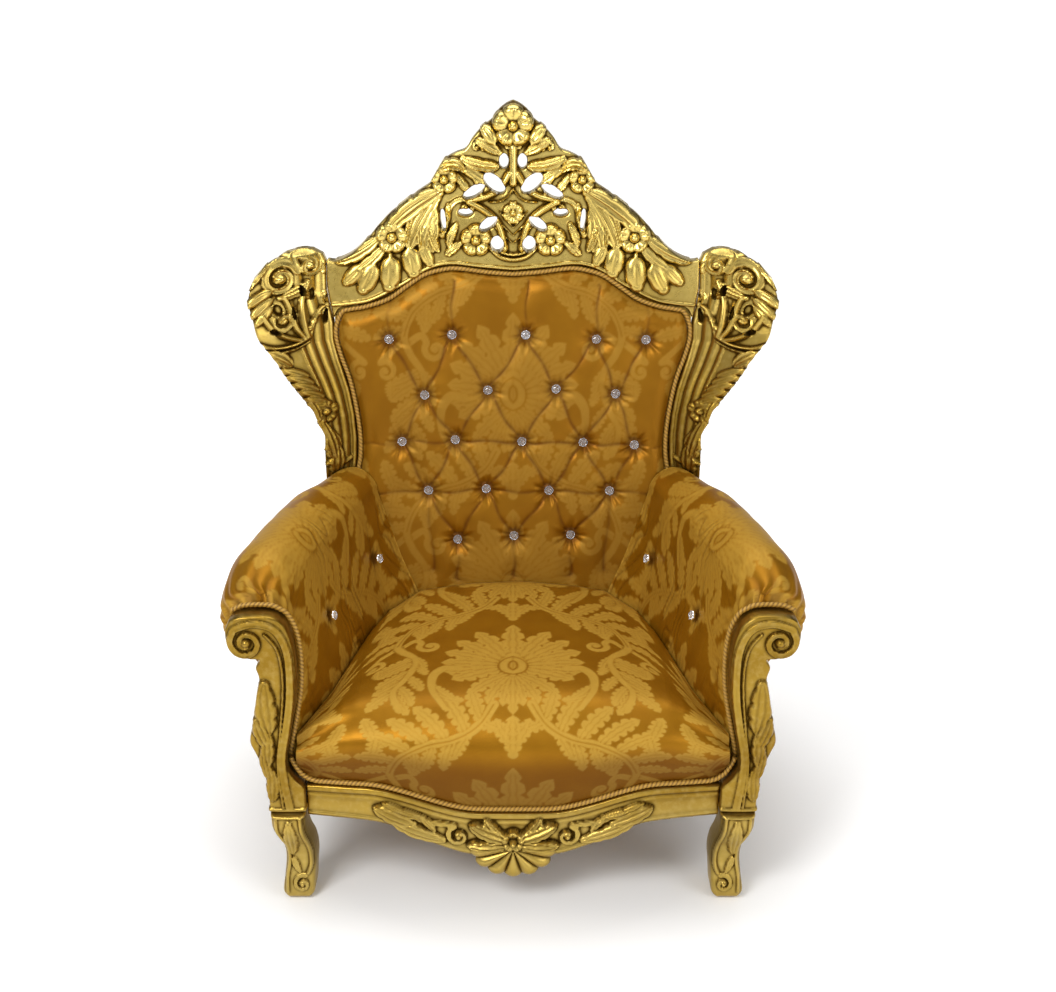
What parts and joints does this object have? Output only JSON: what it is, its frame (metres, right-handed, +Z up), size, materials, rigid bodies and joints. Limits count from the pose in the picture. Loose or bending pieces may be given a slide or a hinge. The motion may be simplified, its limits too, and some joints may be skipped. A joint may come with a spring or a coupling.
{
  "type": "throne armchair",
  "caption": "Baroque throne armchair with a pierced carved crest, carved wings, gilded frame, rolled arms, button-tufted damask back and crowned damask seat.",
  "frame": {"origin": "on the floor, under the middle of the chair's box", "axes": "+Z up, the chair faces -Y, +X is the viewer's right"},
  "size_m": [1.099, 0.8202, 1.438],
  "materials": {
    "gilded_wood": "carved hardwood, gessoed and gilded with antique gold leaf, with dark crevices",
    "damask": "old-gold satin damask with a lighter woven leaf pattern",
    "braid": "twisted gold cord",
    "crystal": "faceted clear crystal in a bright metal rim"
  },
  "bodies": {
    "root": {"crest": "gilded_wood", "wing_left": "gilded_wood", "wing_right": "gilded_wood", "back_post_left": "gilded_wood", "back_post_right": "gilded_wood", "side_rail_left": "gilded_wood", "side_rail_right": "gilded_wood", "back_rail": "gilded_wood", "front_rail": "gilded_wood", "arm_support_left": "gilded_wood", "arm_support_right": "gilded_wood", "front_leg_left": "gilded_wood", "front_leg_right": "gilded_wood", "seat_pad": "damask", "back_pad": "damask", "back_cover": "damask", "arm_pad_left": "damask", "arm_pad_right": "damask", "side_panel_left": "damask", "side_panel_right": "damask", "back_welt": "braid", "seat_welt": "braid", "arm_welt_left": "braid", "arm_welt_right": "braid", "back_button_01": "crystal", "back_button_02": "crystal", "back_button_03": "crystal", "back_button_04": "crystal", "back_button_05": "crystal", "back_button_06": "crystal", "back_button_07": "crystal", "back_button_08": "crystal", "back_button_09": "crystal", "back_button_10": "crystal", "back_button_11": "crystal", "back_button_12": "crystal", "back_button_13": "crystal", "back_button_14": "crystal", "back_button_15": "crystal", "back_button_16": "crystal", "back_button_17": "crystal", "back_button_18": "crystal", "back_button_19": "crystal", "back_button_20": "crystal", "back_button_21": "crystal", "arm_button_left_1": "crystal", "arm_button_left_2": "crystal", "arm_button_right_1": "crystal", "arm_button_right_2": "crystal"}
  },
  "joints": []
}
